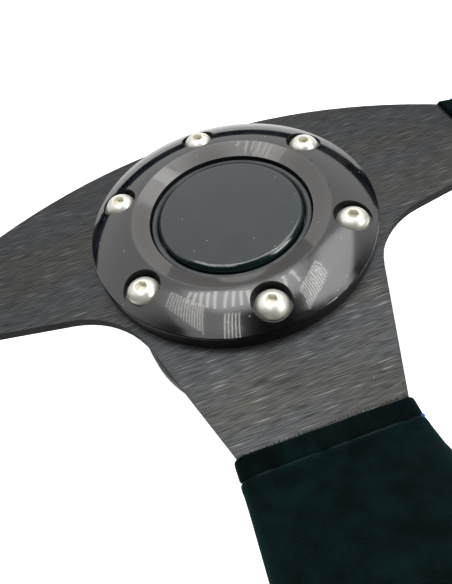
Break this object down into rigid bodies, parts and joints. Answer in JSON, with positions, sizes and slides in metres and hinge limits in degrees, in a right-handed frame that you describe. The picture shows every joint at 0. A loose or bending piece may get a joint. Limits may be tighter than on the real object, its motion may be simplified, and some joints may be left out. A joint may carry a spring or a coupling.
{
  "type": "quick release steering wheel",
  "caption": "Flat-bottomed racing steering wheel with a dished suede rim, spoke plate, horn push and trim ring, on a ball-lock pull-collar release.",
  "frame": {"origin": "centre of the bolt circle on the back face of the column flange", "axes": "+Z along the steering axis towards the driver, +Y at twelve o'clock, +X at three o'clock; the wheel lies flat"},
  "size_m": [0.35, 0.325, 0.1055],
  "materials": {
    "brushed_black_plate": "brushed, black anodised",
    "black_anodised": "satin black anodised",
    "hard_anodised": "satin hard anodised",
    "bare_aluminium": "plain",
    "gloss_black": "gloss moulded black",
    "grey_plastic": "moulded grey",
    "black_plastic": "moulded black",
    "bright_steel": "bright zinc plated",
    "ball_steel": "polished",
    "spring_steel": "oiled spring steel",
    "brass": "plain",
    "rubber": "matt",
    "foam": "moulded foam",
    "black_suede": "napped suede"
  },
  "bodies": {
    "column": {"column_boss": "hard_anodised", "anti_rattle_ring": "rubber"},
    "wheel": {"quick_release_hub": "black_anodised", "collar_retainer": "spring_steel", "collar_spring": "spring_steel", "spoke_plate": "brushed_black_plate", "horn_ring": "gloss_black", "ring_screws": "bright_steel", "horn_housing": "grey_plastic", "horn_base": "black_plastic", "horn_terminals": "brass", "horn_spring": "spring_steel", "rim_core": "bare_aluminium", "rim_foam": "foam", "rim_rivets": "bare_aluminium", "rim_cover_top": "black_suede", "rim_cover_right": "black_suede", "rim_cover_left": "black_suede", "rim_cover_bottom": "black_suede", "spoke_boot_right": "black_suede", "spoke_boot_left": "black_suede", "spoke_boot_lower": "black_suede"},
    "collar": {"release_collar": "black_anodised"},
    "horn_button": {"horn_cap": "gloss_black", "horn_contact_disc": "brass"},
    "ball_1": {"locking_ball_1": "ball_steel"},
    "ball_2": {"locking_ball_2": "ball_steel"},
    "ball_3": {"locking_ball_3": "ball_steel"},
    "ball_4": {"locking_ball_4": "ball_steel"},
    "ball_5": {"locking_ball_5": "ball_steel"},
    "ball_6": {"locking_ball_6": "ball_steel"}
  },
  "joints": [
    {"name": "wheel_lift", "type": "slide", "parent": "column", "child": "wheel", "axis": [0, 0, 1], "range_m": [0, 0.03]},
    {"name": "collar_slide", "type": "slide", "parent": "wheel", "child": "collar", "axis": [0, 0, 1], "range_m": [-0.0072, 0], "stiffness_N_per_m": 800, "springref_m": -0.012, "deforming": ["collar_spring"]},
    {"name": "horn_press", "type": "slide", "parent": "wheel", "child": "horn_button", "axis": [0, 0, 1], "range_m": [-0.0015, 0], "stiffness_N_per_m": 2500, "springref_m": 0.003, "deforming": ["horn_spring"]},
    {"name": "ball_1_slide", "type": "slide", "parent": "wheel", "child": "ball_1", "axis": [1, 0, 0], "range_m": [-0.0018, 0]},
    {"name": "ball_2_slide", "type": "slide", "parent": "wheel", "child": "ball_2", "axis": [0.5, 0.866, 0], "range_m": [-0.0018, 0]},
    {"name": "ball_3_slide", "type": "slide", "parent": "wheel", "child": "ball_3", "axis": [-0.5, 0.866, 0], "range_m": [-0.0018, 0]},
    {"name": "ball_4_slide", "type": "slide", "parent": "wheel", "child": "ball_4", "axis": [-1, 0, 0], "range_m": [-0.0018, 0]},
    {"name": "ball_5_slide", "type": "slide", "parent": "wheel", "child": "ball_5", "axis": [-0.5, -0.866, 0], "range_m": [-0.0018, 0]},
    {"name": "ball_6_slide", "type": "slide", "parent": "wheel", "child": "ball_6", "axis": [0.5, -0.866, 0], "range_m": [-0.0018, 0]}
  ],
  "couplings": [
    {"joint": "ball_1_slide", "follows": "collar_slide", "ratio": 0.25},
    {"joint": "ball_2_slide", "follows": "collar_slide", "ratio": 0.25},
    {"joint": "ball_3_slide", "follows": "collar_slide", "ratio": 0.25},
    {"joint": "ball_4_slide", "follows": "collar_slide", "ratio": 0.25},
    {"joint": "ball_5_slide", "follows": "collar_slide", "ratio": 0.25},
    {"joint": "ball_6_slide", "follows": "collar_slide", "ratio": 0.25}
  ]
}
